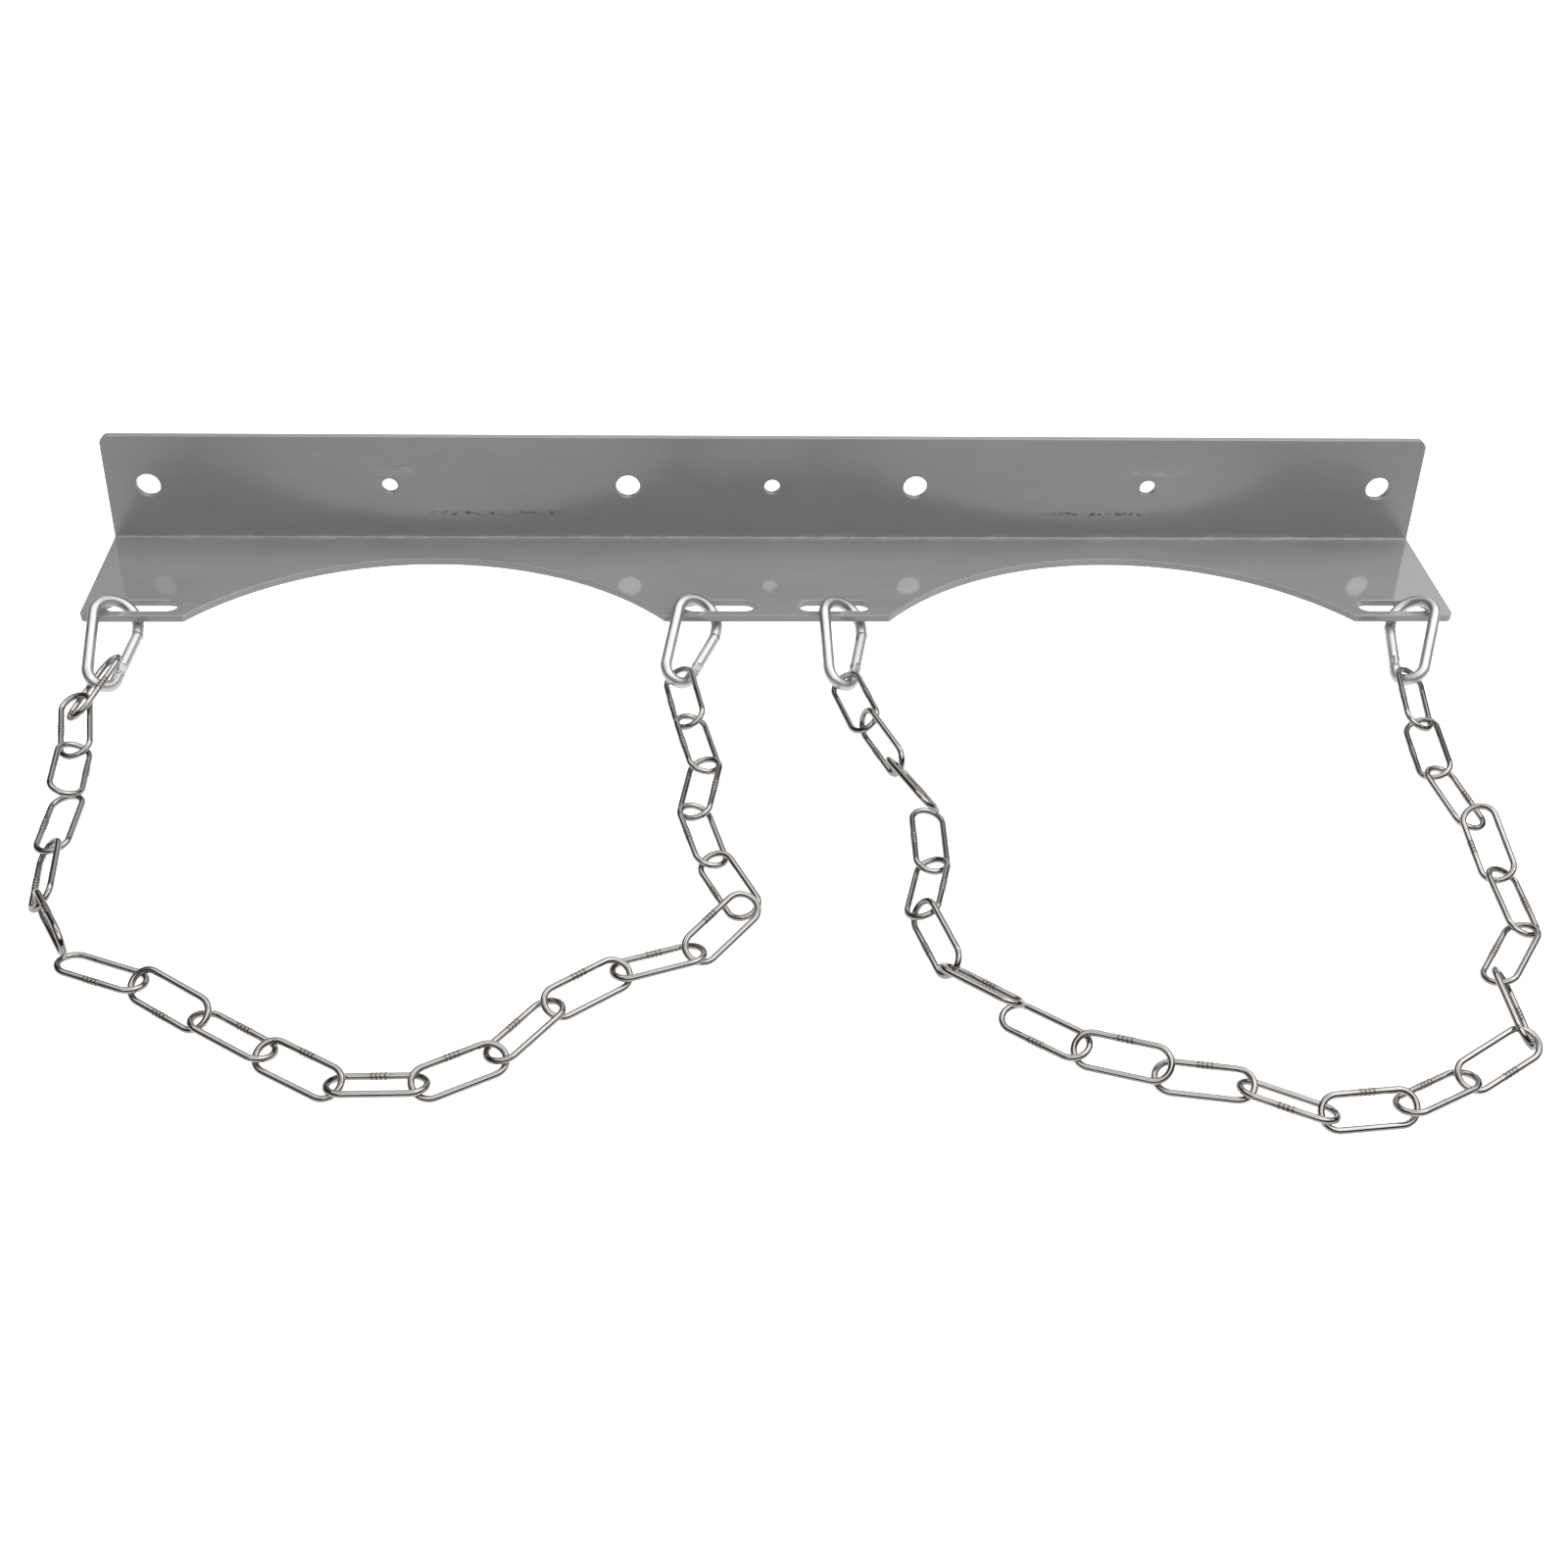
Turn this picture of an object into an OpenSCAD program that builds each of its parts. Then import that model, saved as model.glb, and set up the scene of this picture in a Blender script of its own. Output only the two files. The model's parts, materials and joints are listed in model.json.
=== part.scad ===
// Gas cylinder bracket: a folded steel wall angle with two cradle cut-outs and
// four hook slots, carrying two retaining chains on four snap hooks.
// Millimetres. The floor is z = 0 and +X runs along the bracket. The bracket
// lies as set down: on its heel, leaning back on the snap hooks under its front
// strip, with both chains spread on the floor towards -Y.

/* [Bracket] */
// Length of the bracket along the wall
bar_len = 600; // [400:1:900]
// Sheet thickness
sheet_t = 3; // [2:0.1:5]
// Depth of the shelf in front of the wall flange
shelf_d = 72.7; // [60:0.1:110]
// Height of the wall flange above the shelf
flange_h = 50.2; // [40:0.1:80]
// Inside radius of the fold
bend_r = 0.8; // [0.4:0.1:4]
// Radius of the flange's top corners
top_corner_r = 4; // [1:0.5:10]
// Radius of the shelf's front corners
front_corner_r = 3.5; // [1:0.5:8]
// Lean of the bracket as it rests on the hooks, in degrees
lean = 8.8; // [0:0.1:12]

/* [Cradles] */
// Distance between the centres of the two cylinder cradles
cradle_pitch = 305; // [260:1:420]
// Radius of a cradle cut-out
cradle_r = 129; // [100:1:180]
// Depth of a cradle cut-out behind the front edge
cradle_depth = 52; // [30:0.5:56]

/* [Holes and slots] */
// Diameter of the four large wall holes
large_hole_d = 11; // [6:0.1:13]
// Diameter of the three small wall holes
small_hole_d = 7.2; // [4:0.1:9]
// Distance between the outer pair of large holes
outer_pair = 562.8; // [500:0.1:580]
// Distance between the inner pair of large holes
inner_pair = 131.6; // [80:0.1:180]
// Distance between the outer small holes
small_pair = 347; // [300:0.1:400]
// Height of every wall hole above the shelf
hole_z = 26.1; // [18:0.1:36]
// Length of a hook slot
slot_len = 31.6; // [26:0.1:40]
// Width of a hook slot
slot_w = 9.6; // [8.5:0.1:12]
// Width of the strip in front of a hook slot
strip_w = 4.2; // [3:0.1:5]
// Distance between the outer hook slots
outer_slots = 550; // [520:0.5:570]
// Distance between the inner hook slots
inner_slots = 50.6; // [44:0.5:80]

/* [Chain] */
// Wire diameter of the links
link_d = 2.6; // [2:0.1:3]
// Outside length of a link
link_len = 37.7; // [34:0.1:40]
// Outside width of a link
link_w = 15.2; // [14:0.1:16]
// Height of the weld ribs above the wire
weld_h = 0.12; // [0.05:0.01:0.3]

/* [Snap hooks] */
// Wire diameter of the snap hooks
hook_wire = 5; // [4:0.1:5.2]
// Overall length of a snap hook
hook_len = 50; // [48:0.5:56]
// Overall width of a snap hook
hook_w = 25; // [24:0.5:28]
// Overall width of a snap hook's lower bow
bow_w = 17.8; // [17:0.1:20]
// Play between the gate and the body
gate_play = 0.3; // [0.1:0.05:0.6]

/* [Hidden] */
$fn = 48;
steel_grey = [0.55, 0.56, 0.57];
zinc = [0.80, 0.82, 0.84];
bright = [0.72, 0.71, 0.68];

// Bracket in its level frame: fold line at y = 0, shelf top at z = 0.
heel_z = sheet_t + bend_r - bend_r * (sin(lean) + cos(lean));
slot_y = -shelf_d + strip_w + slot_w / 2;
cradle_y = -shelf_d + cradle_depth - cradle_r;
// Middle of the strip in front of the slots, on the floor's axes.
strip_y = -(shelf_d - strip_w / 2) * cos(lean) - sheet_t / 2 * sin(lean);

// Snap hook in its own plane: x across from the spine, y up from the lower bow.
hook_r = hook_wire / 2;
top_r = (hook_w - hook_wire) / 2;
bow_r = (bow_w - hook_wire) / 2;
top_y = hook_len - hook_wire - top_r;
nose = [2 * top_r, top_y - 4];
to_nose = nose - [bow_r, bow_r];
gate_a = atan2(to_nose[0], to_nose[1]) - asin(bow_r / norm(to_nose));
stub_len = 5.4;
bow_end = bow_r * [1 + cos(gate_a), 1 - sin(gate_a)];
hinge = bow_end + stub_len * [sin(gate_a), cos(gate_a)];
gate_len = norm(nose - hinge);
gate_r = hook_r - 0.1;
cheek_z = 2;
tongue_t = 2.2;
tongue_r = 2.2;
fork_t = tongue_t + gate_play;
latch_t = 1.6;
latch_r = 0.6;
latch_at = gate_len - 2.1;
pin_r = 0.9;
rod_r = 1.1;
rod_len = 10;

// How each snap hook lies: its lower bow from the slot's centre and the strip,
// its heading, climb and roll, and the side its gate is on.
left_outer = [-outer_slots / 2 - 10.3, strip_y - 37.1, 3, 15.5, 35.5, 1];
left_inner = [-inner_slots / 2 - 19, strip_y - 35, -11, 14.5, 36, 1];
right_inner = [inner_slots / 2 + 1.2, strip_y - 37.2, 1.5, 14.5, 33.5, 1];
right_outer = [outer_slots / 2 - 2, strip_y - 34.5, -20.5, 15.5, 31.5, -1];

// Links: half-round ends joined by two straight rails.
rail_r = (link_w - link_d) / 2;
rail_len = link_len - link_w;
wire_z = link_d / 2 + weld_h;

// How each chain lies: the contact point at the start of each link, measured in
// y from the middle of the strip, the link's roll, and how far its two ends are
// lifted by the neighbours they are over.
left_first = [[-281.9, strip_y - 27.3], [-291.9, strip_y - 54.9], 40, 4, -0.2];
left_rows = [
  [-293.8, -47.3, 16, 1.7, 0],
  [-288.5, -75.5, -22, -0.2, 4.4],
  [-285.5, -104, 10, -0.2, 3.4],
  [-285.5, -134.5, 47, -0.2, 1.6],
  [-282.5, -165.5, 87, -0.4, 4.8],
  [-268.5, -191, -16, 0, 0.4],
  [-240, -202.5, 32, 0, 0],
  [-214.5, -220, -20, 0, 0],
  [-190.5, -235.5, 17, 0.2, 0],
  [-164.5, -251, -22, 0, 0.2],
  [-134, -251, 16, 0.4, 0],
  [-108.5, -238, -17, 0.2, 0],
  [-89.5, -215, 18, 0, 0],
  [-65, -198.5, -17, 0, 0],
  [-37.5, -189.5, 18, -0.2, 4.2],
  [-17.5, -168.5, -17, 0, 0],
  [-30.5, -140.5, 17, 0, 0],
  [-37.5, -113.5, -17, 0, 0],
  [-32.5, -86.5, 17, 0, 0],
  [-38.5, -59.5, -30, 0, 0]
];
left_end = [left_inner[0] + 0.8, left_inner[1] + 3.5];
right_rows = [
  [27.3, -34.4, 33, -0.2, 1.2],
  [35, -64.5, 77, 0, 0.4],
  [45.5, -90.5, -51, -0.2, 3.6],
  [56, -116, -10, 0, 0.8],
  [55.5, -145, 23, -0.2, 2.6],
  [48.5, -172, 59, 0, 0.2],
  [57, -200.5, -39, -0.2, 4.2],
  [77.5, -220, 6, 0, 3.4],
  [100, -239, 39, -0.2, 2.8],
  [128, -250, 11, -0.2, 2],
  [157, -256.5, -26, 0, 0],
  [184, -269.5, 34, 0, 0],
  [212, -267, -20, 1.8, -0.2],
  [237.5, -253.5, 13, 0.4, 4.6],
  [263.5, -239, 52, 0, 0.2],
  [262, -207, -21, 0, 0.4],
  [280.5, -181, 19, 0, 0],
  [279.5, -152, -26, -0.4, 5.4],
  [277, -122.5, 13, 0, 1.2],
  [270, -93, -22, 0, 0],
  [271, -63, 28, -0.2, 1.4]
];
right_end = [right_outer[0] + 0.5, right_outer[1] + 2];
// Link length that the contact points were laid out for.
route_len = 35.1;

// Contact points pulled taut between both ends, each link keeping its reach.
function points(rows, last) = concat([for (r = rows) [r[0], strip_y + r[1]]], [last]);
function spans(p) =
  [for (i = [0 : len(p) - 2]) norm(p[i + 1] - p[i]) * (link_len - link_d) / route_len];
function turned(v) = [for (i = [len(v) - 1 : -1 : 0]) v[i]];
function toward(a, b, s) = a + s * (b - a) / norm(b - a);
function pull(p, s, a) =
  [for (i = 0, q = a; i < len(p); q = i + 1 < len(p) ? toward(q, p[i + 1], s[i]) : q, i = i + 1) q];
function relax(p, s, a, b, n) =
  n == 0 ? p : relax(pull(turned(pull(turned(p), turned(s), b)), s, a), s, a, b, n - 1);
function laid(p) = relax(p, spans(p), p[0], p[len(p) - 1], 24);

left_points = laid(points(left_rows, left_end));
right_points = laid(points(right_rows, right_end));

// One node's name, or "all".

// Bracket ------------------------------------------------------------------

// Folded section: x towards the wall, y up.
module section() {
  translate([-shelf_d, -sheet_t]) square([shelf_d - bend_r, sheet_t]);
  translate([0, bend_r]) square([sheet_t, flange_h - bend_r]);
  translate([-bend_r, bend_r]) difference() {
    intersection() {
      circle(r = bend_r + sheet_t);
      translate([0, -bend_r - sheet_t]) square(bend_r + sheet_t);
    }
    circle(r = bend_r);
  }
}

// Tool that rounds one corner of a plate: the corner is at the origin, and the
// plate lies in the quarter where x and y are positive.
module corner_tool(r) {
  linear_extrude(height = 4 * sheet_t, center = true) difference() {
    translate([-1, -1]) square(r + 1);
    translate([r, r]) circle(r = r);
  }
}

module slot_tool(x) {
  translate([x, slot_y, -sheet_t / 2]) linear_extrude(height = 4 * sheet_t, center = true) {
    square([slot_len - slot_w, slot_w], center = true);
    for (s = [-1, 1]) translate([s * (slot_len - slot_w) / 2, 0]) circle(d = slot_w);
  }
}

module wall_hole(x, d) {
  translate([x, sheet_t / 2, hole_z]) rotate([90, 0, 0])
    cylinder(d = d, h = 4 * sheet_t, center = true);
}

module level_bracket() {
  difference() {
    rotate([90, 0, 90]) linear_extrude(height = bar_len, center = true) section();
    for (s = [-1, 1]) {
      translate([s * cradle_pitch / 2, cradle_y, -sheet_t / 2])
        cylinder(r = cradle_r, h = 4 * sheet_t, center = true);
      slot_tool(s * outer_slots / 2);
      slot_tool(s * inner_slots / 2);
      wall_hole(s * outer_pair / 2, large_hole_d);
      wall_hole(s * inner_pair / 2, large_hole_d);
      wall_hole(s * small_pair / 2, small_hole_d);
      translate([-s * bar_len / 2, -shelf_d, 0]) mirror([s < 0 ? 1 : 0, 0, 0])
        corner_tool(front_corner_r);
      translate([-s * bar_len / 2, 0, flange_h]) mirror([s < 0 ? 1 : 0, 0, 0])
        rotate([-90, 0, 0]) corner_tool(top_corner_r);
    }
    wall_hole(0, small_hole_d);
  }
}

module bracket() {
  color(steel_grey) translate([0, 0, heel_z]) rotate([-lean, 0, 0]) level_bracket();
}

// Snap hooks ---------------------------------------------------------------

// Moves a snap hook from its own plane to where it lies on the floor.
module lay(h) {
  across = -sin(h[4]) * cos(h[3]);
  along = sin(h[3]);
  z = hook_r - bow_r * (along - norm([across, along]));
  translate([h[0], h[1], z]) rotate([0, 0, h[2]]) rotate([h[3], 0, 0])
    rotate([0, h[5] * h[4], 0]) mirror([h[5] < 0 ? 1 : 0, 0, 0])
      translate([-bow_r, 0, 0]) children();
}

// Moves a piece from the gate's frame (hinge at the origin, y along the gate).
module on_gate() {
  translate(hinge) rotate([0, 0, -gate_a]) children();
}

module bar(len) {
  rotate([-90, 0, 0]) cylinder(r = hook_r, h = len);
}

module hook_body() {
  translate([0, bow_r, 0]) bar(top_y - bow_r);
  translate([top_r, top_y, 0]) rotate_extrude(angle = 180)
    translate([top_r, 0]) circle(r = hook_r);
  translate([bow_r, bow_r, 0]) rotate([0, 0, 180]) rotate_extrude(angle = 180 - gate_a)
    translate([bow_r, 0]) circle(r = hook_r);
  difference() {
    translate([nose[0], nose[1] - 3, 0]) bar(top_y - nose[1] + 3);
    on_gate() cylinder(r = gate_len, h = 4 * hook_wire, center = true);
  }
  on_gate() {
    difference() {
      translate([-1.7, gate_len - 3.9, -latch_t / 2]) cube([3.8, 4.4, latch_t]);
      latch_track();
    }
    translate([0, 0.2 - stub_len, 0]) bar(stub_len - gate_r - gate_play - 0.4);
    // Swaged ring where the lower bow runs into the hinge stub.
    translate([0, -stub_len - 0.5, 0]) rotate([-90, 0, 0]) cylinder(r = hook_r + 0.08, h = 1);
    difference() {
      union() {
        cylinder(r = tongue_r, h = tongue_t, center = true);
        translate([-tongue_r, -gate_r - gate_play - 0.8, -tongue_t / 2])
          cube([2 * tongue_r, gate_r + gate_play + 0.8, tongue_t]);
      }
      cylinder(r = pin_r + 0.05, h = 2 * hook_wire, center = true);
    }
  }
}

// Track of the latch pin through the nose's tongue as the gate swings inwards.
module latch_track() {
  intersection() {
    difference() {
      cylinder(r = latch_at + latch_r + 0.25, h = hook_wire, center = true);
      cylinder(r = latch_at - latch_r - 0.25, h = 2 * hook_wire, center = true);
    }
    translate([-hook_wire, latch_at - 4, -hook_wire]) cube([hook_wire + 0.85, 8, 2 * hook_wire]);
  }
}

module hook_gate() {
  difference() {
    intersection() {
      translate([0, -gate_r, 0]) rotate([-90, 0, 0]) cylinder(r = gate_r, h = 2 * gate_len);
      union() {
        cylinder(r = gate_r, h = 4 * hook_r, center = true);
        translate([-gate_r, 0, -2 * hook_r]) cube([2 * gate_r, gate_len, 4 * hook_r]);
      }
      cylinder(r = gate_len - gate_play, h = 6 * hook_r, center = true);
    }
    translate([-hook_r, -hook_r, -fork_t / 2]) cube([2 * hook_r, hook_r + 2.7, fork_t]);
    translate([-hook_r, gate_len - 4.3, -latch_t / 2 - 0.2]) cube([2 * hook_r, 6, latch_t + 0.4]);
    for (s = [-1, 1]) translate([-hook_r, -hook_r, s > 0 ? cheek_z : -cheek_z - 2])
      cube([2 * hook_r, hook_r + 3, 2]);
    cylinder(r = pin_r + 0.02, h = 4 * hook_r, center = true);
    rotate([-90, 0, 0]) cylinder(r = rod_r + 0.04, h = tongue_r + rod_len + 0.3);
  }
  translate([0, latch_at, 0]) cylinder(r = latch_r, h = 2 * gate_r - 1, center = true);
}

module hook_pin() {
  cylinder(r = pin_r, h = 2 * cheek_z + 0.1, center = true);
  for (s = [-1, 1]) translate([0, 0, s * (cheek_z + 0.22)])
    cylinder(r = pin_r + 0.5, h = 0.4, center = true);
}

module hook_rod() {
  translate([0, tongue_r + 0.05, 0]) rotate([-90, 0, 0]) cylinder(r = rod_r, h = rod_len);
}

module left_outer_hook() {
  color(zinc) lay(left_outer) hook_body();
}

module left_outer_gate() {
  color(zinc) lay(left_outer) on_gate() hook_gate();
}

module left_outer_pin() {
  color(zinc) lay(left_outer) on_gate() hook_pin();
}

module left_outer_rod() {
  color(zinc) lay(left_outer) on_gate() hook_rod();
}

module left_inner_hook() {
  color(zinc) lay(left_inner) hook_body();
}

module left_inner_gate() {
  color(zinc) lay(left_inner) on_gate() hook_gate();
}

module left_inner_pin() {
  color(zinc) lay(left_inner) on_gate() hook_pin();
}

module left_inner_rod() {
  color(zinc) lay(left_inner) on_gate() hook_rod();
}

module right_inner_hook() {
  color(zinc) lay(right_inner) hook_body();
}

module right_inner_gate() {
  color(zinc) lay(right_inner) on_gate() hook_gate();
}

module right_inner_pin() {
  color(zinc) lay(right_inner) on_gate() hook_pin();
}

module right_inner_rod() {
  color(zinc) lay(right_inner) on_gate() hook_rod();
}

module right_outer_hook() {
  color(zinc) lay(right_outer) hook_body();
}

module right_outer_gate() {
  color(zinc) lay(right_outer) on_gate() hook_gate();
}

module right_outer_pin() {
  color(zinc) lay(right_outer) on_gate() hook_pin();
}

module right_outer_rod() {
  color(zinc) lay(right_outer) on_gate() hook_rod();
}

// Chains -------------------------------------------------------------------

// One link about its centre, x along it. The weld ribs are on the rail at
// positive y for side 1 and at negative y for side -1.
module chain_link(side) {
  for (s = [0, 180]) rotate([0, 0, s]) {
    translate([rail_len / 2, 0, 0]) rotate([0, 0, -90]) rotate_extrude(angle = 180)
      translate([rail_r, 0]) circle(d = link_d);
    translate([-rail_len / 2, rail_r, 0]) rotate([0, 90, 0]) cylinder(d = link_d, h = rail_len);
  }
  for (i = [-1 : 1]) translate([1.3 * i, side * rail_r, 0]) rotate([0, 90, 0])
    cylinder(r = link_d / 2 + weld_h, h = 0.7, center = true);
}

// Lays a link between two contact points, each end at its own height.
module lay_link(p, q, roll, rise_p, rise_q, side) {
  v = q - p;
  base = wire_z + rail_r * abs(sin(roll));
  color(bright) translate([(p[0] + q[0]) / 2, (p[1] + q[1]) / 2, base + (rise_p + rise_q) / 2])
    rotate([0, 0, atan2(v[1], v[0])]) rotate([0, -atan2(rise_q - rise_p, norm(v)), 0])
      rotate([roll, 0, 0]) chain_link(side);
}

// Link i of a chain, counted from its first row.
module row_link(rows, pts, i, side) {
  r = rows[i];
  lay_link(pts[i], pts[i + 1], r[2], r[3], r[4], side);
}

module left_link_01() {
  f = left_first;
  lay_link(f[0], f[1], f[2], f[3], f[4], 1);
}

module left_link_02() {
  row_link(left_rows, left_points, 0, 1);
}

module left_link_03() {
  row_link(left_rows, left_points, 1, -1);
}

module left_link_04() {
  row_link(left_rows, left_points, 2, 1);
}

module left_link_05() {
  row_link(left_rows, left_points, 3, 1);
}

module left_link_06() {
  row_link(left_rows, left_points, 4, 1);
}

module left_link_07() {
  row_link(left_rows, left_points, 5, -1);
}

module left_link_08() {
  row_link(left_rows, left_points, 6, -1);
}

module left_link_09() {
  row_link(left_rows, left_points, 7, 1);
}

module left_link_10() {
  row_link(left_rows, left_points, 8, 1);
}

module left_link_11() {
  row_link(left_rows, left_points, 9, 1);
}

module left_link_12() {
  row_link(left_rows, left_points, 10, -1);
}

module left_link_13() {
  row_link(left_rows, left_points, 11, 1);
}

module left_link_14() {
  row_link(left_rows, left_points, 12, 1);
}

module left_link_15() {
  row_link(left_rows, left_points, 13, 1);
}

module left_link_16() {
  row_link(left_rows, left_points, 14, 1);
}

module left_link_17() {
  row_link(left_rows, left_points, 15, 1);
}

module left_link_18() {
  row_link(left_rows, left_points, 16, 1);
}

module left_link_19() {
  row_link(left_rows, left_points, 17, -1);
}

module left_link_20() {
  row_link(left_rows, left_points, 18, 1);
}

module left_link_21() {
  row_link(left_rows, left_points, 19, -1);
}

module right_link_01() {
  row_link(right_rows, right_points, 0, 1);
}

module right_link_02() {
  row_link(right_rows, right_points, 1, 1);
}

module right_link_03() {
  row_link(right_rows, right_points, 2, 1);
}

module right_link_04() {
  row_link(right_rows, right_points, 3, -1);
}

module right_link_05() {
  row_link(right_rows, right_points, 4, 1);
}

module right_link_06() {
  row_link(right_rows, right_points, 5, -1);
}

module right_link_07() {
  row_link(right_rows, right_points, 6, 1);
}

module right_link_08() {
  row_link(right_rows, right_points, 7, -1);
}

module right_link_09() {
  row_link(right_rows, right_points, 8, 1);
}

module right_link_10() {
  row_link(right_rows, right_points, 9, 1);
}

module right_link_11() {
  row_link(right_rows, right_points, 10, -1);
}

module right_link_12() {
  row_link(right_rows, right_points, 11, 1);
}

module right_link_13() {
  row_link(right_rows, right_points, 12, 1);
}

module right_link_14() {
  row_link(right_rows, right_points, 13, -1);
}

module right_link_15() {
  row_link(right_rows, right_points, 14, -1);
}

module right_link_16() {
  row_link(right_rows, right_points, 15, 1);
}

module right_link_17() {
  row_link(right_rows, right_points, 16, -1);
}

module right_link_18() {
  row_link(right_rows, right_points, 17, 1);
}

module right_link_19() {
  row_link(right_rows, right_points, 18, -1);
}

module right_link_20() {
  row_link(right_rows, right_points, 19, 1);
}

module right_link_21() {
  row_link(right_rows, right_points, 20, 1);
}

bracket();
left_outer_hook();
left_outer_gate();
left_outer_pin();
left_outer_rod();
left_inner_hook();
left_inner_gate();
left_inner_pin();
left_inner_rod();
right_inner_hook();
right_inner_gate();
right_inner_pin();
right_inner_rod();
right_outer_hook();
right_outer_gate();
right_outer_pin();
right_outer_rod();
left_link_01();
left_link_02();
left_link_03();
left_link_04();
left_link_05();
left_link_06();
left_link_07();
left_link_08();
left_link_09();
left_link_10();
left_link_11();
left_link_12();
left_link_13();
left_link_14();
left_link_15();
left_link_16();
left_link_17();
left_link_18();
left_link_19();
left_link_20();
left_link_21();
right_link_01();
right_link_02();
right_link_03();
right_link_04();
right_link_05();
right_link_06();
right_link_07();
right_link_08();
right_link_09();
right_link_10();
right_link_11();
right_link_12();
right_link_13();
right_link_14();
right_link_15();
right_link_16();
right_link_17();
right_link_18();
right_link_19();
right_link_20();
right_link_21();
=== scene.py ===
"""Looks of the gas cylinder bracket: grey enamelled steel angle, zinc-plated snap
hooks and two welded stainless chains, in a plain white studio."""
import json
import math

import bmesh
import bpy
import numpy as np
from mathutils import Matrix, Vector

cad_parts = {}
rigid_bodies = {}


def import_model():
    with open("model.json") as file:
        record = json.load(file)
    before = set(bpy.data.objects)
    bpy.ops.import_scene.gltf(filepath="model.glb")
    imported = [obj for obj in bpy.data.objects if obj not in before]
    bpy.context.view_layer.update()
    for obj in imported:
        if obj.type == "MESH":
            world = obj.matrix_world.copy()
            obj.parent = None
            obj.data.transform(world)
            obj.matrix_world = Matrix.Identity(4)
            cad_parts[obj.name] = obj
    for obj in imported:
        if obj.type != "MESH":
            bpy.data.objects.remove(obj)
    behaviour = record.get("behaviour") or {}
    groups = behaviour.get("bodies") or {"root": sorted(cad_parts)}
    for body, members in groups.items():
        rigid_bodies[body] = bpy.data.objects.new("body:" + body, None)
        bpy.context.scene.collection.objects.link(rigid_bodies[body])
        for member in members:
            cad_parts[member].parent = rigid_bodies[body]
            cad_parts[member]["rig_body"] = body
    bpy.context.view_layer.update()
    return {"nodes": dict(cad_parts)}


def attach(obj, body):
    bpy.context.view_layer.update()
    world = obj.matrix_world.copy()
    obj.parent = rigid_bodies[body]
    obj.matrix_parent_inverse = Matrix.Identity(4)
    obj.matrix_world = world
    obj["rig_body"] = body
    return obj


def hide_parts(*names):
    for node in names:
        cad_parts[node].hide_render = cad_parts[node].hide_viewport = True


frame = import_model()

nodes = frame["nodes"]
scene = bpy.context.scene

# Bracket's own level axes: it leans back on its heel by this angle, and the
# heel lies this far under the inner line of the fold.
LEAN = math.radians(8.8)
HEEL_Z = 0.002887
PAINT_GREY = 142

# Marks on the flange: x of the middle, half length and length of the soft end.
SMUDGES = ((-0.126, 0.022, 0.012), (0.152, 0.018, 0.014))
HAIRS = ((-0.171, 0.006, 0.005), (0.177, 0.009, 0.006))
CURLS = ((0.235, 0.03, 0.03), (-0.02, 0.03, 0.04))

# Chain link: wire radius, centre line of its rails and bends, weld ridges.
WIRE_R = 0.00129
RAIL_R = 0.0063
RAIL_LEN = 0.0225
RIB_H = 0.00014
RIB_PITCH = 0.0016
RIB_SPAN = 0.0033

# Mesh of a link: half the steps of a rail and of the weld on it, steps of a
# bend, half the steps of the rail without a weld, and points round the wire.
RAIL_STEPS = 14
WELD_STEPS = 24
BEND_STEPS = 24
BACK_STEPS = 4
AROUND = 20

# Links that show their weld on the rail opposite the solid's ridges.
WELD_OPPOSITE = {"left": (2, 3, 4, 5, 12, 21), "right": (2,)}

# Low enough for the chains to hang free at the ends of their swing.
FLOOR_Z = -0.36
FLOOR_HALF = 12.0

# Brightness of the studio by height of the direction (0 level, 1 straight up).
BEHIND = ((0.0, 0.20), (0.18, 0.30), (0.28, 1.0), (0.56, 1.0), (0.70, 0.7), (1.0, 0.8))
IN_FRONT = ((0.0, 0.03), (0.60, 0.05), (0.74, 0.70), (0.90, 0.90), (1.0, 0.85))
# The backdrop fades in over these y, and is dimmed to the left over these x.
BACKDROP_Y = (0.68, 0.82)
LEFT_X = (-0.34, -0.10)
TO_THE_LEFT = ((0.0, 0.18), (1.0, 1.0))


# Node helpers ---------------------------------------------------------------

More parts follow.
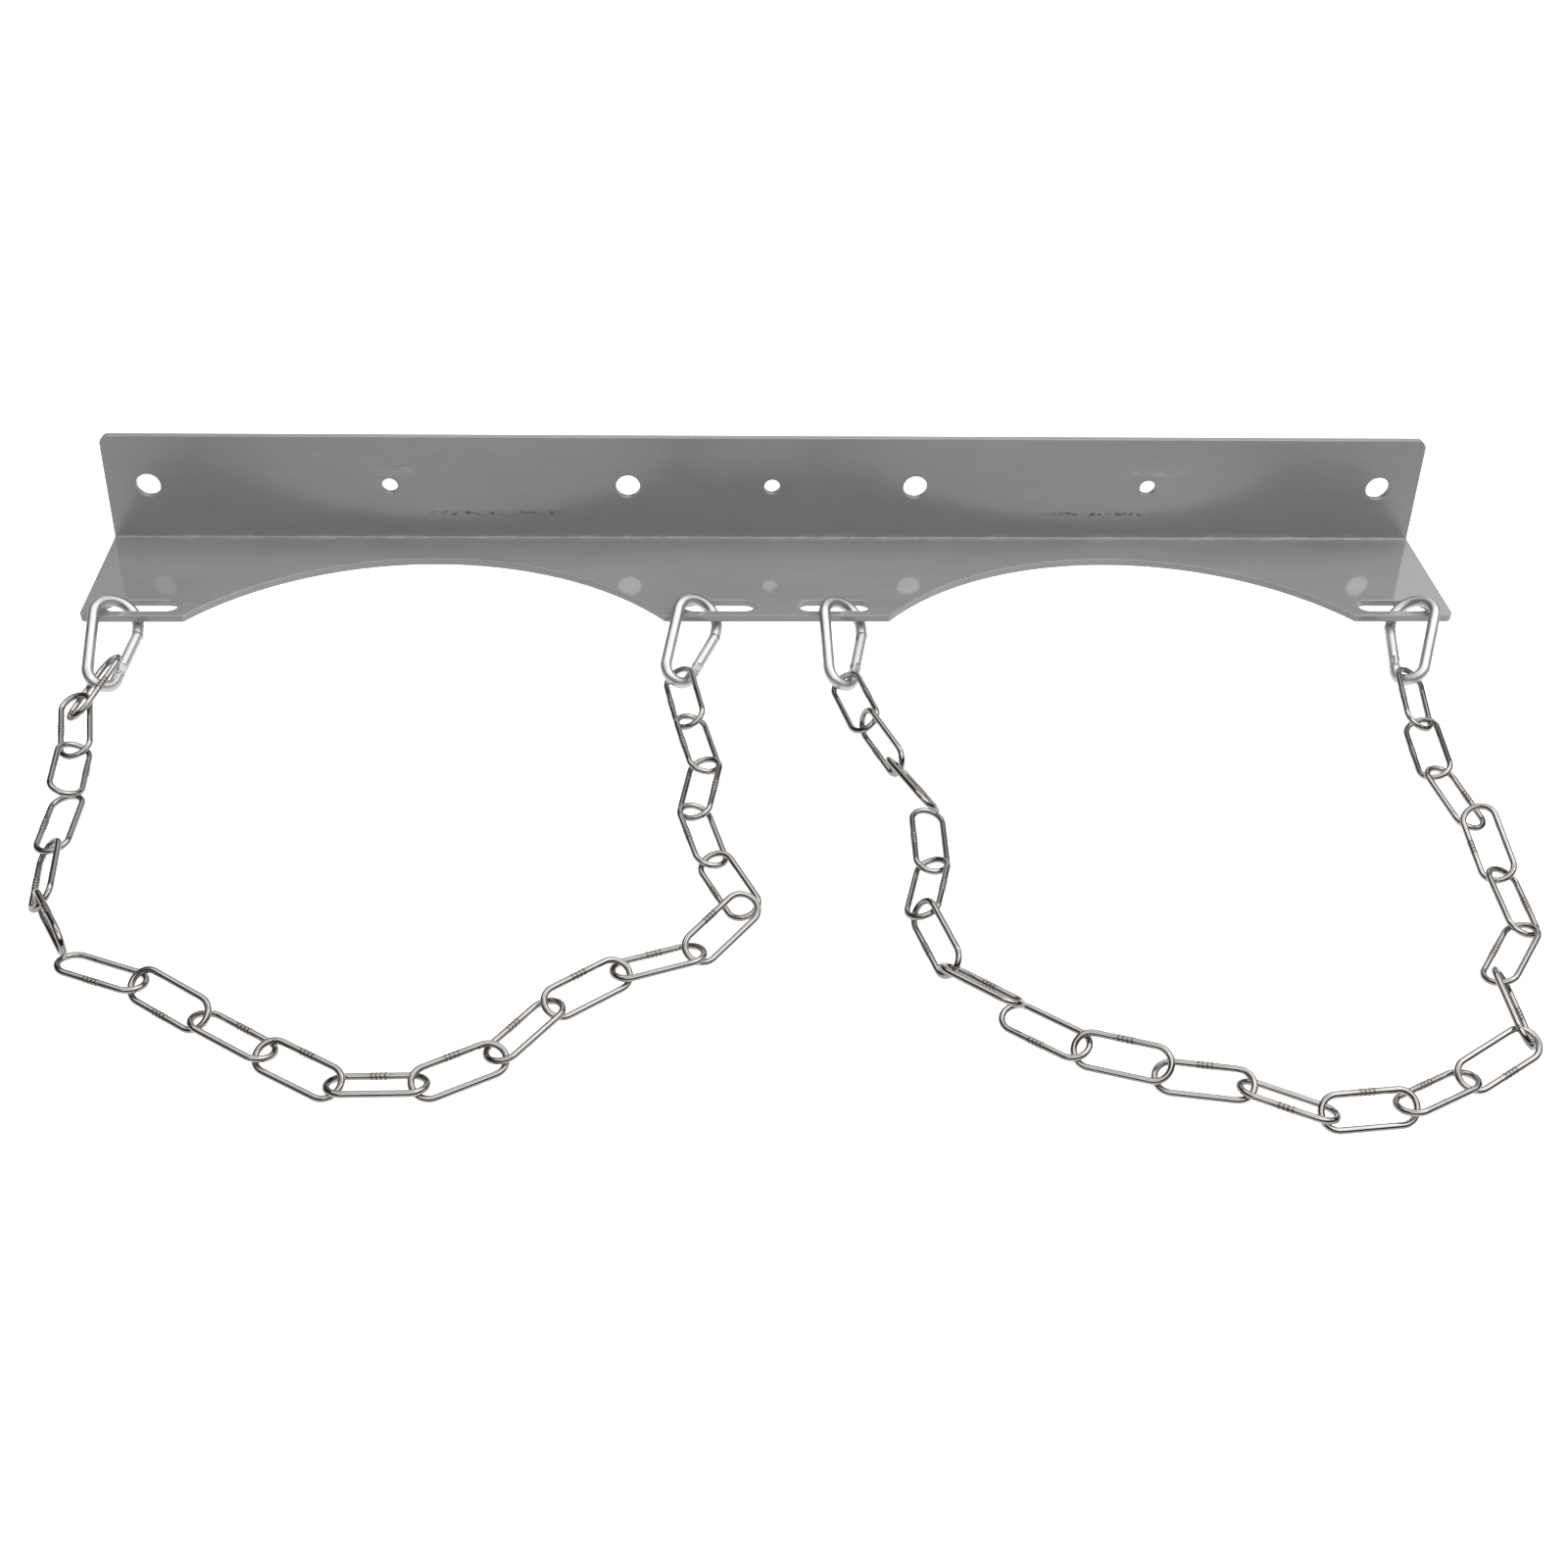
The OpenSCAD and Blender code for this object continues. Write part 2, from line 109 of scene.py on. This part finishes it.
class Nodes:
    """Small builder for one material's node tree."""

    def __init__(self, name):
        self.material = bpy.data.materials.new(name)
        self.material.use_nodes = True
        self.tree = self.material.node_tree
        self.shader = self.tree.nodes["Principled BSDF"]
        self.output = self.tree.nodes["Material Output"]

    def add(self, kind, settings=None, **inputs):
        node = self.tree.nodes.new(kind)
        for key, value in (settings or {}).items():
            setattr(node, key, value)
        for key, value in inputs.items():
            self.put(node.inputs[key.replace("_", " ")], value)
        return node

    def put(self, socket, value):
        if isinstance(value, bpy.types.NodeSocket):
            self.tree.links.new(value, socket)
        else:
            socket.default_value = value

    def math(self, operation, *values, clamp=False):
        node = self.tree.nodes.new("ShaderNodeMath")
        node.operation = operation
        node.use_clamp = clamp
        for socket, value in zip(node.inputs, values):
            self.put(socket, value)
        return node.outputs[0]

    def ramp(self, value, *stops):
        """Piecewise curve: stops are (position, grey or colour)."""
        node = self.tree.nodes.new("ShaderNodeValToRGB")
        while len(node.color_ramp.elements) < len(stops):
            node.color_ramp.elements.new(0.5)
        for element, (position, colour) in zip(node.color_ramp.elements, stops):
            element.position = position
            element.color = (*colour, 1) if isinstance(colour, tuple) else (colour,) * 3 + (1,)
        self.put(node.inputs[0], value)
        return node.outputs[0]

    def mix(self, factor, a, b, blend="MIX"):
        node = self.tree.nodes.new("ShaderNodeMix")
        node.data_type = "RGBA"
        node.blend_type = blend
        self.put(node.inputs[0], factor)
        for socket, value in ((node.inputs[6], a), (node.inputs[7], b)):
            self.put(socket, (*value, 1) if isinstance(value, tuple) else value)
        return node.outputs[2]

    def noise(self, vector, scale, detail=3, rough=0.5, distortion=0.0):
        node = self.add("ShaderNodeTexNoise", Vector=vector, Scale=scale, Detail=detail,
                        Roughness=rough, Distortion=distortion)
        return node.outputs["Fac"]

    def scaled(self, vector, scale):
        node = self.tree.nodes.new("ShaderNodeVectorMath")
        node.operation = "MULTIPLY"
        self.put(node.inputs[0], vector)
        node.inputs[1].default_value = scale
        return node.outputs[0]

    def bump(self, height, distance, strength=1.0, normal=None):
        node = self.add("ShaderNodeBump", Height=height, Distance=distance, Strength=strength)
        if normal is not None:
            self.put(node.inputs["Normal"], normal)
        return node.outputs[0]

    def band(self, value, centre, half_width, soft):
        """1 within half_width of centre, falling to 0 over soft."""
        off = self.math("ABSOLUTE", self.math("SUBTRACT", value, centre))
        return self.math("DIVIDE", self.math("SUBTRACT", half_width + soft, off), soft, clamp=True)

    def either(self, value, first, second):
        """The larger of two bands, each (centre, half_width, soft)."""
        return self.math("MAXIMUM", self.band(value, *first), self.band(value, *second))


def srgb(level):
    """Linear value of an 8-bit grey."""
    s = level / 255
    return s / 12.92 if s <= 0.04045 else ((s + 0.055) / 1.055) ** 2.4


# Bracket enamel -------------------------------------------------------------

def bracket_paint():
    m = Nodes("grey_enamel")
    object_space = m.add("ShaderNodeTexCoord").outputs
    facing = m.add("ShaderNodeSeparateXYZ", Vector=object_space["Normal"]).outputs[1]
    inside = m.math("LESS_THAN", facing, -0.5)
    back = Matrix.Rotation(LEAN, 3, "X") @ Vector((0, 0, HEEL_Z))
    level = m.add("ShaderNodeMapping", {"vector_type": "POINT"}, Vector=object_space["Object"],
                  Location=-back, Rotation=(LEAN, 0, 0)).outputs[0]
    axes = m.add("ShaderNodeSeparateXYZ", Vector=level)
    x, y, z = axes.outputs[0], axes.outputs[1], axes.outputs[2]

    # Cloudy tone of a sprayed coat, drawn out along the rolled bar.
    cloud = m.noise(m.scaled(level, (9, 26, 26)), 1.0, 4, 0.6)
    rolled = m.noise(m.scaled(level, (14, 260, 260)), 1.0, 3, 0.6)
    grain = m.noise(level, 800, 2, 0.6)
    tone = m.ramp(cloud, (0.3, 0.90), (0.7, 1.08))
    tone = m.mix(0.5, tone, m.ramp(rolled, (0.3, 0.94), (0.7, 1.05)), "MULTIPLY")
    tone = m.mix(0.4, tone, m.ramp(grain, (0.3, 0.84), (0.7, 1.12)), "MULTIPLY")
    grey = m.mix(1.0, tone, (srgb(PAINT_GREY),) * 3, "MULTIPLY")

    # Painted light: the flange is painted paler, most towards the fold, where the shelf's shade
    # and reflection darken it.
    painted_fold_light = m.math("MULTIPLY", inside, m.ramp(z, (0.006, 1.0), (0.040, 0.5)))
    grey = m.mix(m.math("MULTIPLY", painted_fold_light, 0.3), grey, (srgb(175),) * 3)

    # Paint crowded into the fold, with a painted highlight of its inner bend: one thin pale line,
    # broken along its length.
    fold = m.math("SQRT", m.math("ADD", m.math("POWER", y, 2.0), m.math("POWER", z, 2.0)))
    along = m.noise(m.scaled(level, (55, 300, 300)), 1.0, 5, 0.75)
    fold_paint_and_highlight = m.math("MULTIPLY", m.ramp(fold, (0.0, 1.0), (0.0005, 0.9), (0.0009, 0.0)),
                  m.ramp(along, (0.40, 0.15), (0.58, 1.0)))
    grey = m.mix(m.math("MULTIPLY", fold_paint_and_highlight, 0.5), grey, (srgb(185),) * 3)

    # Rubbed smudges in a row above the fold, at the middle of each cradle.
    row = m.band(z, 0.0125, 0.0003, 0.0012)
    spot = m.noise(m.scaled(level, (300, 10, 500)), 1.0, 3, 0.7)
    spot = m.ramp(spot, (0.50, 0.0), (0.56, 1.0))
    where = m.either(x, *SMUDGES)
    on_flange = m.math("GREATER_THAN", z, 0.004)
    smudge = m.math("MULTIPLY", m.math("MULTIPLY", row, spot), m.math("MULTIPLY", where, inside))
    grey = m.mix(m.math("MULTIPLY", smudge, 0.8), grey, (srgb(38),) * 3)

    # Pale handling marks: hair scratches above the small holes, curls at the
    # middle and the right end, and a few specks of dust under the coat.
    hair = m.noise(m.scaled(level, (70, 40, 1500)), 1.0, 2, 0.5, 1.2)
    near = m.math("MULTIPLY", m.band(z, 0.0335, 0.0012, 0.0016), m.either(x, *HAIRS))
    hair = m.ramp(hair, (0.53, 0.0), (0.58, 1.0))
    rub = m.math("MULTIPLY", m.math("MULTIPLY", near, inside), hair)
    warp = m.add("ShaderNodeVectorMath", {"operation": "ADD"})
    m.put(warp.inputs[0], m.scaled(level, (70, 70, 210)))
    m.put(warp.inputs[1], m.add("ShaderNodeTexNoise", Vector=level, Scale=50.0).outputs["Color"])
    curl = m.add("ShaderNodeTexVoronoi", {"feature": "DISTANCE_TO_EDGE"},
                 Vector=warp.outputs[0], Scale=0.5).outputs["Distance"]
    patch = m.noise(m.scaled(level, (40, 60, 90)), 1.0, 2, 0.5, 0.6)
    patch = m.math("MULTIPLY", m.ramp(patch, (0.58, 0.0), (0.70, 1.0)), m.either(x, *CURLS))
    curl = m.math("MULTIPLY", m.ramp(curl, (0.0, 1.0), (0.012, 0.0)), patch)
    speck = m.ramp(m.add("ShaderNodeTexVoronoi", Vector=level, Scale=120.0).outputs["Distance"],
                   (0.0, 1.0), (0.045, 0.0))
    mark = m.math("MAXIMUM", m.math("MULTIPLY", curl, 0.6), m.math("MULTIPLY", speck, 0.6))
    mark = m.math("MAXIMUM", mark, rub)
    grey = m.mix(m.math("MULTIPLY", mark, 0.5), grey, (srgb(190),) * 3)

    # Painted highlight: a paler line painted on the sheared edges, for the light they catch.
    rounded = m.add("ShaderNodeBevel", {"samples": 6}, Radius=0.0011).outputs[0]
    turn = m.add("ShaderNodeVectorMath", {"operation": "DOT_PRODUCT"})
    m.put(turn.inputs[0], rounded)
    m.put(turn.inputs[1], m.add("ShaderNodeNewGeometry").outputs["Normal"])
    painted_edge_highlight = m.ramp(turn.outputs["Value"], (0.86, 1.0), (0.97, 0.0))
    grey = m.mix(m.math("MULTIPLY", painted_edge_highlight, 0.55), grey, (srgb(205),) * 3)

    m.put(m.shader.inputs["Base Color"], grey)
    # The shelf is mirror smooth, the wall flange satin.
    gloss = m.noise(m.scaled(level, (30, 60, 60)), 1.0, 4, 0.6)
    satin = m.math("MULTIPLY", on_flange, 0.15)
    rough = m.math("ADD", m.ramp(gloss, (0.3, 0.05), (0.7, 0.09)), satin)
    matt = m.math("MULTIPLY", m.math("MAXIMUM", fold_paint_and_highlight, smudge), 0.3)
    rough = m.math("ADD", rough, matt, clamp=True)
    m.put(m.shader.inputs["Roughness"], rough)
    m.shader.inputs["IOR"].default_value = 1.88

    peel = m.noise(level, 420, 2, 0.5)
    broad = m.noise(m.scaled(level, (24, 50, 50)), 1.0, 2, 0.5)
    normal = m.bump(broad, 0.0006, 0.15, rounded)
    normal = m.bump(peel, 0.00003, 0.4, normal)
    normal = m.bump(m.math("MULTIPLY", fold_paint_and_highlight, along), 0.0003, 0.7, normal)
    m.put(m.shader.inputs["Normal"], normal)
    return m.material


# Snap hook plating ----------------------------------------------------------

def hook_zinc():
    m = Nodes("zinc_plate")
    coords = m.add("ShaderNodeTexCoord").outputs["Object"]
    cloud = m.noise(coords, 90, 3, 0.6)
    fine = m.noise(coords, 900, 2, 0.6)
    colour = m.mix(cloud, (0.57, 0.575, 0.58), (0.66, 0.665, 0.67))
    colour = m.mix(0.12, colour, m.ramp(fine, (0.3, 0.7), (0.7, 1.0)), "MULTIPLY")
    m.put(m.shader.inputs["Base Color"], colour)
    m.shader.inputs["Metallic"].default_value = 1.0
    m.put(m.shader.inputs["Roughness"], m.ramp(cloud, (0.3, 0.36), (0.7, 0.46)))
    rounded = m.add("ShaderNodeBevel", {"samples": 4}, Radius=0.00025).outputs[0]
    dimple = m.noise(coords, 160, 2, 0.5)
    m.put(m.shader.inputs["Normal"], m.bump(dimple, 0.00002, 0.3, rounded))
    return m.material


# Chain wire -----------------------------------------------------------------

def chain_steel():
    """Drawn stainless wire. UV u is the distance from the weld in metres."""
    m = Nodes("stainless_wire")
    uv = m.add("ShaderNodeUVMap", {"uv_map": "wire"}).outputs[0]
    axes = m.add("ShaderNodeSeparateXYZ", Vector=uv)
    coords = m.add("ShaderNodeTexCoord").outputs["Object"]
    off = m.math("ABSOLUTE", axes.outputs[0])
    drawn = m.noise(m.scaled(uv, (60, 7, 1)), 1.0, 3, 0.6)
    cloud = m.noise(coords, 110, 3, 0.6)
    fine = m.noise(coords, 1400, 2, 0.6)
    colour = m.mix(cloud, (0.33, 0.311, 0.296), (0.43, 0.411, 0.395))
    colour = m.mix(0.3, colour, m.ramp(drawn, (0.3, 0.66), (0.7, 1.0)), "MULTIPLY")
    # Straw and brown heat tint beside the weld, soot between its ribs.
    edge = m.math("ADD", off, m.math("MULTIPLY", m.math("SUBTRACT", cloud, 0.5), 0.004))
    colour = m.mix(m.ramp(edge, (0.0034, 0.45), (0.0065, 0.0)), colour, (0.27, 0.235, 0.205))
    half = RIB_PITCH / 2
    ribs = m.math("DIVIDE", m.math("PINGPONG", m.math("ADD", off, half), half), half)
    groove = m.math("MULTIPLY", m.ramp(ribs, (0.35, 1.0), (0.75, 0.0)),
                    m.band(off, 0.0, RIB_SPAN, 0.0003))
    soot = m.math("MULTIPLY", groove, m.ramp(fine, (0.35, 0.2), (0.6, 1.0)))
    colour = m.mix(m.math("MULTIPLY", soot, 0.6), colour, (0.03, 0.027, 0.025))
    m.put(m.shader.inputs["Base Color"], colour)
    m.shader.inputs["Metallic"].default_value = 1.0
    rough = m.math("ADD", m.ramp(cloud, (0.3, 0.07), (0.7, 0.14)),
                   m.ramp(off, (0.0034, 0.15), (0.0045, 0.0)), clamp=True)
    m.put(m.shader.inputs["Roughness"], rough)
    m.put(m.shader.inputs["Normal"], m.bump(drawn, 0.000015, 0.4))
    return m.material


def link_frame(node):
    """Centre and axes (along, away from the ridges, across) of a CAD link."""
    mesh = node.data
    count = len(mesh.vertices)
    co = np.empty(count * 3)
    mesh.vertices.foreach_get("co", co)
    co = co.reshape(-1, 3)
    faces = np.array([[*p.center, p.area] for p in mesh.polygons])
    centre = np.average(faces[:, :3], axis=0, weights=faces[:, 3])
    off = faces[:, :3] - centre
    spread = (off * faces[:, 3:]).T @ off
    values, vectors = np.linalg.eigh(spread)
    along, plain = Vector(vectors[:, 2]), Vector(vectors[:, 1])
    # The ridges' area draws the centre to them, so the plain rail reaches further.
    reach = (co - centre) @ np.array(plain)
    if reach.max() < -reach.min():
        plain = -plain
    across = along.cross(plain).normalized()
    axes = Matrix((along, plain, across))
    local = (co - centre) @ np.array(axes).T
    middle = (local.max(0) + local.min(0)) / 2
    # Taken from the ridged rail, so the mesh lies 0.13 mm towards the ridges.
    middle[1] = local[:, 1].min() + RAIL_R + WIRE_R
    return Vector(centre) + axes.transposed() @ Vector(middle), axes.transposed()


def weld_swell(x):
    """How far the ridges of the weld stand out of the wire, x from its middle."""
    if abs(x) >= RIB_SPAN:
        return 0.0
    return RIB_H * max(0.0, -math.cos(x / RIB_PITCH * 2 * math.pi)) ** 0.6


def link_rings():
    """Rings along the wire: x, y, outward direction, UV u and swell."""
    arc = math.pi * RAIL_R
    clear = RIB_SPAN * 1.2
    rail = [(-1 + i / RAIL_STEPS) * RAIL_LEN / 2 for i in range(2 * RAIL_STEPS + 1)]
    weld = [RIB_SPAN * (i / WELD_STEPS - 1) * 1.15 for i in range(2 * WELD_STEPS + 1)]
    rings = [(x, RAIL_R, 0.0, 1.0, x, 0.0) for x in rail if x <= -clear]
    rings += [(x, RAIL_R, 0.0, 1.0, x, weld_swell(x)) for x in weld]
    rings += [(x, RAIL_R, 0.0, 1.0, x, 0.0) for x in rail if x >= clear]
    for i in range(1, BEND_STEPS):
        a = math.pi / 2 - math.pi * i / BEND_STEPS
        rings.append((RAIL_LEN / 2 + RAIL_R * math.cos(a), RAIL_R * math.sin(a), math.cos(a),
                      math.sin(a), RAIL_LEN / 2 + arc * i / BEND_STEPS, 0.0))
    for i in range(2 * BACK_STEPS + 1):
        rings.append(((1 - i / BACK_STEPS) * RAIL_LEN / 2, -RAIL_R, 0.0, -1.0,
                      RAIL_LEN / 2 + arc + RAIL_LEN * i / (2 * BACK_STEPS), 0.0))
    for i in range(1, BEND_STEPS):
        a = -math.pi / 2 - math.pi * i / BEND_STEPS
        rings.append((-RAIL_LEN / 2 + RAIL_R * math.cos(a), RAIL_R * math.sin(a), math.cos(a),
                      math.sin(a), -RAIL_LEN / 2 - arc * (1 - i / BEND_STEPS), 0.0))
    return rings


def link_mesh(name, centre, axes):
    """Welded link: round wire swept round a stadium, ribbed where it is welded."""
    rings = link_rings()
    bm = bmesh.new()
    grid = []
    for x, y, nx, ny, u, swell in rings:
        r = WIRE_R + swell
        ring = []
        for j in range(AROUND):
            b = 2 * math.pi * j / AROUND
            p = Vector((x + nx * r * math.cos(b), y + ny * r * math.cos(b), r * math.sin(b)))
            ring.append(bm.verts.new(centre + axes @ p))
        grid.append(ring)
    layer = bm.loops.layers.uv.new("wire")
    total = 2 * (RAIL_LEN + math.pi * RAIL_R)
    for i in range(len(rings)):
        k = (i + 1) % len(rings)
        u0, u1 = rings[i][4], rings[k][4]
        if abs(u1 - u0) > total / 2:
            u1 += total if u1 < u0 else -total
        for j in range(AROUND):
            l = (j + 1) % AROUND
            face = bm.faces.new((grid[i][j], grid[k][j], grid[k][l], grid[i][l]))
            face.smooth = True
            for loop, (u, v) in zip(face.loops, ((u0, j), (u1, j), (u1, j + 1), (u0, j + 1))):
                loop[layer].uv = (u, v / AROUND)
    bmesh.ops.recalc_face_normals(bm, faces=bm.faces)
    mesh = bpy.data.meshes.new(name)
    bm.to_mesh(mesh)
    bm.free()
    piece = bpy.data.objects.new(name, mesh)
    scene.collection.objects.link(piece)
    return piece


# Pieces ---------------------------------------------------------------------

paint, zinc, steel = bracket_paint(), hook_zinc(), chain_steel()

for name, node in nodes.items():
    if name == "bracket":
        finish = paint
    elif "link" in name:
        finish = steel
    else:
        finish = zinc
    if not node.material_slots:
        node.data.materials.append(finish)
    for slot in node.material_slots:
        slot.material = finish

for name, node in list(nodes.items()):
    if "_link_" not in name:
        continue
    side, number = name.split("_link_")
    centre, axes = link_frame(node)
    # Link meshes have their weld on the plain side, so most are turned over.
    if int(number) not in WELD_OPPOSITE[side]:
        axes = axes @ Matrix.Rotation(math.pi, 3, "X")
    piece = link_mesh("welded_" + name, centre, axes)
    piece.data.materials.append(steel)
    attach(piece, node["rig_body"])
    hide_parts(name)


# Stage ----------------------------------------------------------------------

def floor():
    """White floor: a glow for the camera and for reflections only."""
    m = Nodes("white_table")
    m.shader.inputs["Base Color"].default_value = (0.90, 0.90, 0.90, 1)
    m.shader.inputs["Roughness"].default_value = 0.8
    m.shader.inputs["Specular IOR Level"].default_value = 0.1
    rays = m.add("ShaderNodeLightPath").outputs
    shown = m.math("MULTIPLY", rays["Is Camera Ray"], 0.84)
    mirrored = m.math("MULTIPLY", rays["Is Glossy Ray"], 0.28)
    strength = m.math("ADD", shown, mirrored)
    glow = m.add("ShaderNodeEmission", Color=(1, 1, 1, 1), Strength=strength)
    both = m.tree.nodes.new("ShaderNodeAddShader")
    m.put(both.inputs[0], m.shader.outputs[0])
    m.put(both.inputs[1], glow.outputs[0])
    m.put(m.output.inputs["Surface"], both.outputs[0])
    mesh = bpy.data.meshes.new("floor")
    s, z = FLOOR_HALF, FLOOR_Z
    mesh.from_pydata([(-s, -s, z), (s, -s, z), (s, s, z), (-s, s, z)], [], [(0, 1, 2, 3)])
    mesh.materials.append(m.material)
    plane = bpy.data.objects.new("floor", mesh)
    scene.collection.objects.link(plane)


def lamp(name, place, target, size, power):
    data = bpy.data.lights.new(name, "AREA")
    data.shape = "RECTANGLE"
    data.size, data.size_y = size
    data.energy = power
    light = bpy.data.objects.new(name, data)
    light.location = place
    light.rotation_euler = (Vector(target) - Vector(place)).to_track_quat("-Z", "Y").to_euler()
    scene.collection.objects.link(light)


def world():
    """Studio that the paint and metal mirror; the camera sees plain white."""
    sky = bpy.data.worlds.new("studio")
    sky.use_nodes = True
    scene.world = sky
    tree = sky.node_tree
    background = tree.nodes["Background"]
    path = tree.nodes.new("ShaderNodeLightPath")
    axes = tree.nodes.new("ShaderNodeSeparateXYZ")
    tree.links.new(tree.nodes.new("ShaderNodeTexCoord").outputs["Generated"], axes.inputs[0])

    def ramp(source, stops):
        node = tree.nodes.new("ShaderNodeValToRGB")
        while len(node.color_ramp.elements) < len(stops):
            node.color_ramp.elements.new(0.5)
        for element, (position, level) in zip(node.color_ramp.elements, stops):
            element.position = position
            element.color = (level, level, level, 1)
        tree.links.new(source, node.inputs[0])
        return node.outputs[0]

    def fade(source, limits):
        node = tree.nodes.new("ShaderNodeMapRange")
        node.inputs["From Min"].default_value, node.inputs["From Max"].default_value = limits
        tree.links.new(source, node.inputs["Value"])
        return node.outputs[0]

    def mix(factor, a, b, blend="MIX"):
        """Sockets are linked, and a plain number or colour is set."""
        node = tree.nodes.new("ShaderNodeMix")
        node.data_type, node.blend_type = "RGBA", blend
        for socket, value in ((node.inputs[0], factor), (node.inputs[6], a), (node.inputs[7], b)):
            if isinstance(value, bpy.types.NodeSocket):
                tree.links.new(value, socket)
            else:
                socket.default_value = value
        return node.outputs[2]

    dimming = ramp(fade(axes.outputs[0], LEFT_X), TO_THE_LEFT)
    wall = mix(1.0, ramp(axes.outputs[2], BEHIND), dimming, "MULTIPLY")
    studio = mix(fade(axes.outputs[1], BACKDROP_Y), ramp(axes.outputs[2], IN_FRONT), wall)
    seen = mix(path.outputs["Is Camera Ray"], studio, (1, 1, 1, 1))
    tree.links.new(seen, background.inputs["Color"])
    background.inputs["Strength"].default_value = 1.0


floor()
world()
lamp("key", (1.1, 0.1, 1.3), (0.1, -0.1, 0.0), (1.7, 1.7), 10)
lamp("fill", (0.3, -1.0, 1.45), (0.0, -0.05, 0.0), (2.6, 1.1), 9.5)
lamp("top", (0.0, 0.60, 1.5), (0.0, -0.15, 0.0), (2.6, 1.0), 8.5)

# Camera from the photograph's perspective.
lens = bpy.data.cameras.new("camera")
lens.lens = 48.1
lens.sensor_width = 36.0
lens.clip_start, lens.clip_end = 0.05, 60.0
camera = bpy.data.objects.new("camera", lens)
right = Vector((0.99867, -0.04039, 0.03191))
up = Vector((0.00433, 0.68366, 0.72979))
ahead = Vector((0.0513, 0.7287, -0.6829))
turn = Matrix((right, up, -ahead)).transposed()
camera.matrix_world = Matrix.Translation((-0.04436, -0.78737, 0.58411)) @ turn.to_4x4()
scene.collection.objects.link(camera)
scene.camera = camera

scene.view_settings.view_transform = "Standard"
